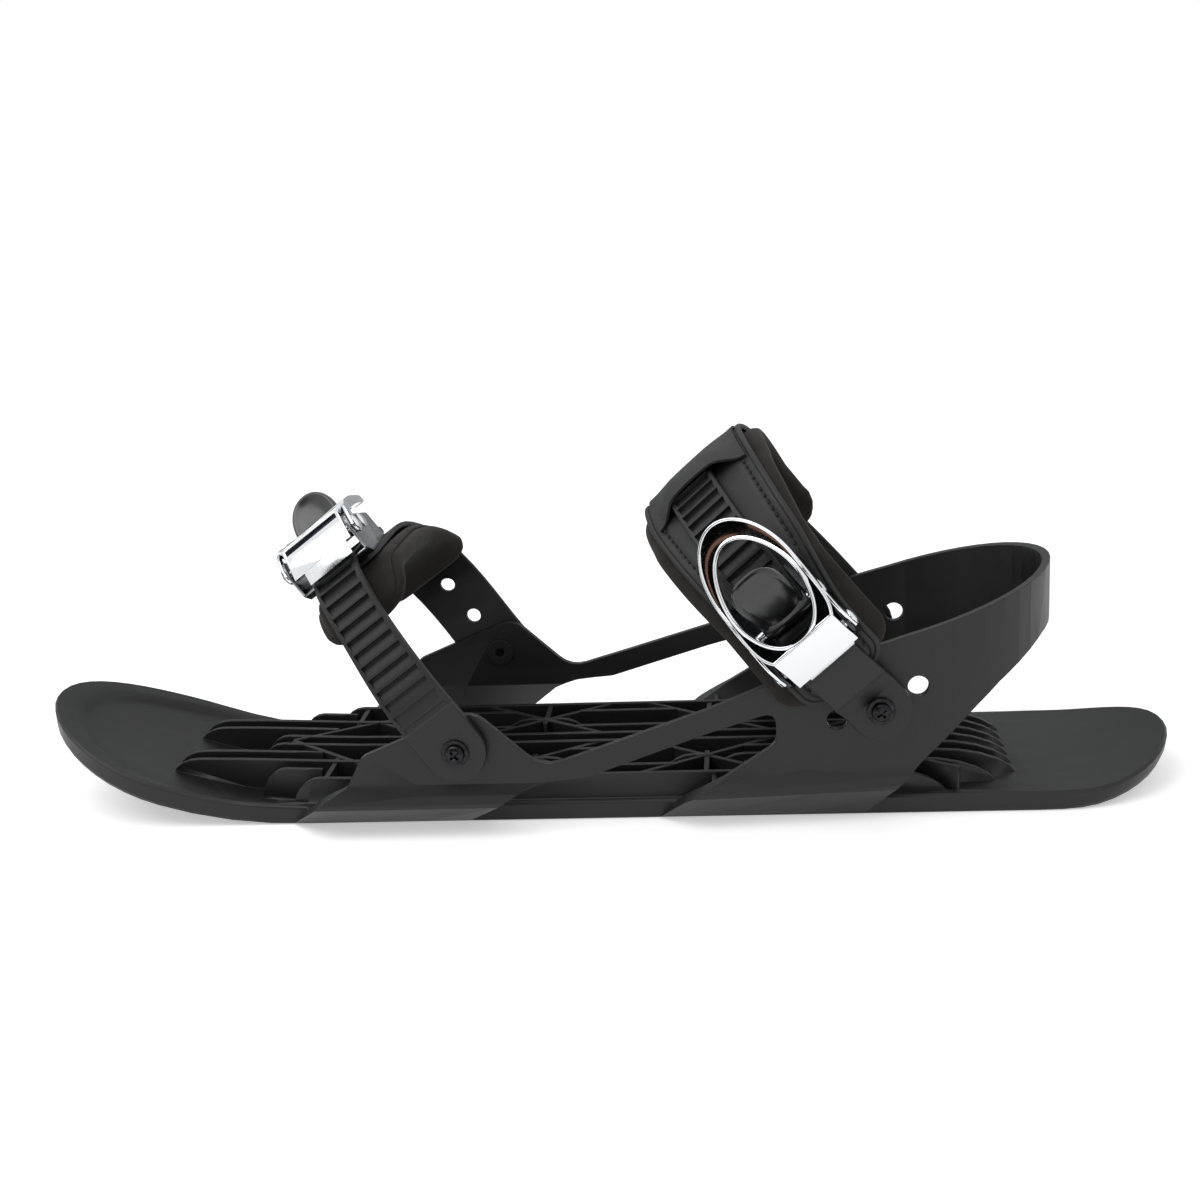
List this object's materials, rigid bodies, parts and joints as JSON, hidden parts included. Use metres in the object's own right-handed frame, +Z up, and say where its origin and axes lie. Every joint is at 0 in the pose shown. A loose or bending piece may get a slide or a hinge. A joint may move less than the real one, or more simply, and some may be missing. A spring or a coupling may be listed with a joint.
{
  "type": "mini ski",
  "caption": "Short moulded ski for a snow boot: upturned ribbed deck, side walls with a heel loop, and a toe strap and padded ankle strap closed by ratchet buckles.",
  "frame": {"origin": "on the flat running surface, on the centre line, near mid length", "axes": "+X from the tip to the tail, +Z up from the running surface, -Y towards the side with the buckles"},
  "size_m": [0.4317, 0.1512, 0.1373],
  "materials": {
    "body_plastic": "satin moulded black",
    "strap_plastic": "matte moulded black",
    "foam": "matte black foam with a fabric face",
    "cover_leather": "black imitation leather, satin",
    "chrome": "polished chrome",
    "zinc_steel": "bright zinc",
    "black_steel": "black screws",
    "tab_plastic": "glossy black"
  },
  "bodies": {
    "ski": {"ski_body": "body_plastic", "toe_near_screw": "black_steel", "toe_near_washer": "black_steel", "toe_near_insert": "black_steel", "toe_far_screw": "black_steel", "toe_far_washer": "black_steel", "toe_far_insert": "black_steel", "ankle_near_screw": "black_steel", "ankle_near_washer": "black_steel", "ankle_near_insert": "black_steel", "ankle_far_screw": "black_steel", "ankle_far_washer": "black_steel", "ankle_far_insert": "black_steel"},
    "toe_strap": {"toe_ladder_strap": "strap_plastic", "toe_far_strap": "strap_plastic", "toe_pad": "foam", "toe_buckle_frame": "zinc_steel", "toe_lever_pin": "zinc_steel", "toe_tab_pin": "zinc_steel", "toe_tab_spring": "zinc_steel", "toe_frame_rivet_1": "zinc_steel", "toe_frame_rivet_2": "zinc_steel"},
    "ankle_strap": {"ankle_ladder_strap": "strap_plastic", "ankle_far_strap": "strap_plastic", "ankle_pad_cover": "cover_leather", "ankle_pad_liner": "foam", "ankle_tunnel_flap": "cover_leather", "ankle_buckle_frame": "zinc_steel", "ankle_lever_pin": "zinc_steel", "ankle_tab_pin": "zinc_steel", "ankle_tab_spring": "zinc_steel", "ankle_frame_rivet_1": "zinc_steel", "ankle_frame_rivet_2": "zinc_steel"},
    "toe_lever_body": {"toe_lever": "chrome", "toe_drive_pawl": "zinc_steel"},
    "ankle_lever_body": {"ankle_lever": "chrome", "ankle_drive_pawl": "zinc_steel"},
    "toe_tab_body": {"toe_release_tab": "tab_plastic"},
    "ankle_tab_body": {"ankle_release_tab": "tab_plastic"}
  },
  "joints": [
    {"name": "toe_strap_swing", "type": "hinge", "parent": "ski", "child": "toe_strap", "pos_m": [-0.0445, 0, 0.0343], "axis": [0, 1, 0], "range_deg": [-20, 35]},
    {"name": "ankle_strap_swing", "type": "hinge", "parent": "ski", "child": "ankle_strap", "pos_m": [0.1068, 0, 0.0435], "axis": [0, 1, 0], "range_deg": [-4, 40]},
    {"name": "toe_lever_hinge", "type": "hinge", "parent": "toe_strap", "child": "toe_lever_body", "pos_m": [-0.09423, -0.034, 0.10274], "axis": [0.807, 0.0698, 0.5864], "range_deg": [0, 80]},
    {"name": "ankle_lever_hinge", "type": "hinge", "parent": "ankle_strap", "child": "ankle_lever_body", "pos_m": [0.08341, -0.0737, 0.07193], "axis": [0.7547, 0, 0.6561], "range_deg": [0, 80]},
    {"name": "toe_tab_hinge", "type": "hinge", "parent": "toe_strap", "child": "toe_tab_body", "pos_m": [-0.09448, -0.01904, 0.10132], "axis": [0.807, 0.0698, 0.5864], "range_deg": [0, 16], "stiffness_Nm_per_rad": 0.02, "springref_deg": -20.05},
    {"name": "ankle_tab_hinge", "type": "hinge", "parent": "ankle_strap", "child": "ankle_tab_body", "pos_m": [0.07426, -0.06811, 0.08246], "axis": [0.7547, 0, 0.6561], "range_deg": [0, 16], "stiffness_Nm_per_rad": 0.02, "springref_deg": -20.05}
  ]
}
